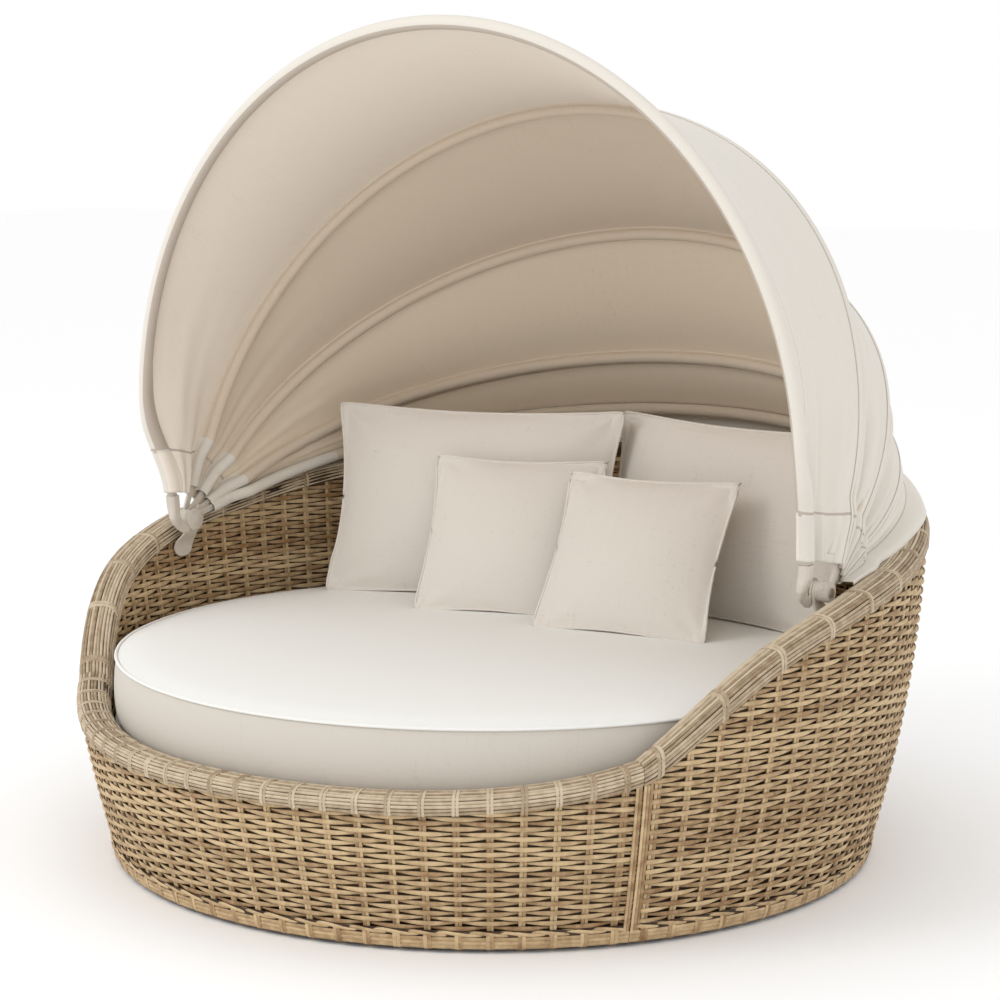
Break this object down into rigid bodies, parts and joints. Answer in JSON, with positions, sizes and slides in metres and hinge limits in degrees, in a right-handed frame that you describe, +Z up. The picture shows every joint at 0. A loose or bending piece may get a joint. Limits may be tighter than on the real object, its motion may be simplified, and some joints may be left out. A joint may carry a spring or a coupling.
{
  "type": "outdoor daybed with canopy",
  "caption": "Round woven outdoor daybed with a thick mattress, loose pillows and a bowed fabric canopy that folds back on pivots over the arms.",
  "frame": {"origin": "on the floor under the middle of the round tub, at the underside of the middle glide", "axes": "+X to the sitter's left when seated facing out, which is the right side seen from the front, +Y to the back, +Z up; the open front faces -Y"},
  "size_m": [1.8056, 1.7773, 1.7282],
  "materials": {
    "weave": "matte synthetic wicker",
    "frame": "satin brown powder coat",
    "hardware": "satin powder coat",
    "bolt": "satin",
    "slat": "matte oiled",
    "glide": "matte",
    "mattress_fabric": "matte",
    "pillow_fabric": "matte",
    "canopy_fabric": "matte"
  },
  "bodies": {
    "base": {"rear_frame": "frame", "front_frame": "frame", "deck_spine": "frame", "deck_slat_1": "slat", "deck_slat_2": "slat", "deck_slat_3": "slat", "deck_slat_4": "slat", "deck_slat_5": "slat", "deck_slat_6": "slat", "deck_slat_7": "slat", "glide_1": "glide", "glide_2": "glide", "glide_3": "glide", "glide_4": "glide", "glide_5": "glide", "glide_6": "glide", "glide_7": "glide", "joiner_bolt_1": "bolt", "joiner_bolt_2": "bolt", "joiner_bolt_3": "bolt", "joiner_bolt_4": "bolt", "rear_weave_outer": "weave", "rear_weave_inner": "weave", "rear_rim": "weave", "rear_foot_band": "weave", "front_weave_outer": "weave", "front_weave_inner": "weave", "front_rim": "weave", "front_foot_band": "weave", "mattress": "mattress_fabric", "back_pillow_left": "pillow_fabric", "back_pillow_right": "pillow_fabric", "scatter_pillow_left": "pillow_fabric", "scatter_pillow_right": "pillow_fabric", "pivot_bracket_left": "hardware", "pivot_bracket_right": "hardware", "pivot_bolt_left": "bolt", "pivot_bolt_right": "bolt", "pivot_cap_left": "hardware", "pivot_cap_right": "hardware", "hem_bow": "hardware", "hem_bow_end_left": "hardware", "hem_bow_end_right": "hardware", "cover_rear": "canopy_fabric"},
    "fourth": {"fourth_bow": "hardware", "fourth_bow_end_left": "hardware", "fourth_bow_end_right": "hardware"},
    "third": {"third_bow": "hardware", "third_bow_end_left": "hardware", "third_bow_end_right": "hardware", "cover_third": "canopy_fabric"},
    "second": {"second_bow": "hardware", "second_bow_end_left": "hardware", "second_bow_end_right": "hardware", "cover_second": "canopy_fabric"},
    "front": {"front_bow": "hardware", "front_knuckle_left": "hardware", "front_knuckle_right": "hardware", "cover_front": "canopy_fabric"}
  },
  "joints": [
    {"name": "fourth_fold", "type": "hinge", "parent": "base", "child": "fourth", "pos_m": [0, -0.05, 0.6246], "axis": [-1, 0, 0], "range_deg": [0, 2.25], "deforming": ["cover_rear"]},
    {"name": "third_fold", "type": "hinge", "parent": "fourth", "child": "third", "pos_m": [0, -0.05, 0.6246], "axis": [-1, 0, 0], "range_deg": [0, 12.75], "deforming": ["cover_third"]},
    {"name": "second_fold", "type": "hinge", "parent": "third", "child": "second", "pos_m": [0, -0.05, 0.6246], "axis": [-1, 0, 0], "range_deg": [0, 17.85], "deforming": ["cover_second"]},
    {"name": "front_fold", "type": "hinge", "parent": "second", "child": "front", "pos_m": [0, -0.05, 0.6246], "axis": [-1, 0, 0], "range_deg": [0, 19.25], "deforming": ["cover_front"]}
  ],
  "couplings": [
    {"joint": "second_fold", "follows": "front_fold", "ratio": 0.9272},
    {"joint": "third_fold", "follows": "front_fold", "ratio": 0.6623},
    {"joint": "fourth_fold", "follows": "front_fold", "ratio": 0.1168}
  ]
}
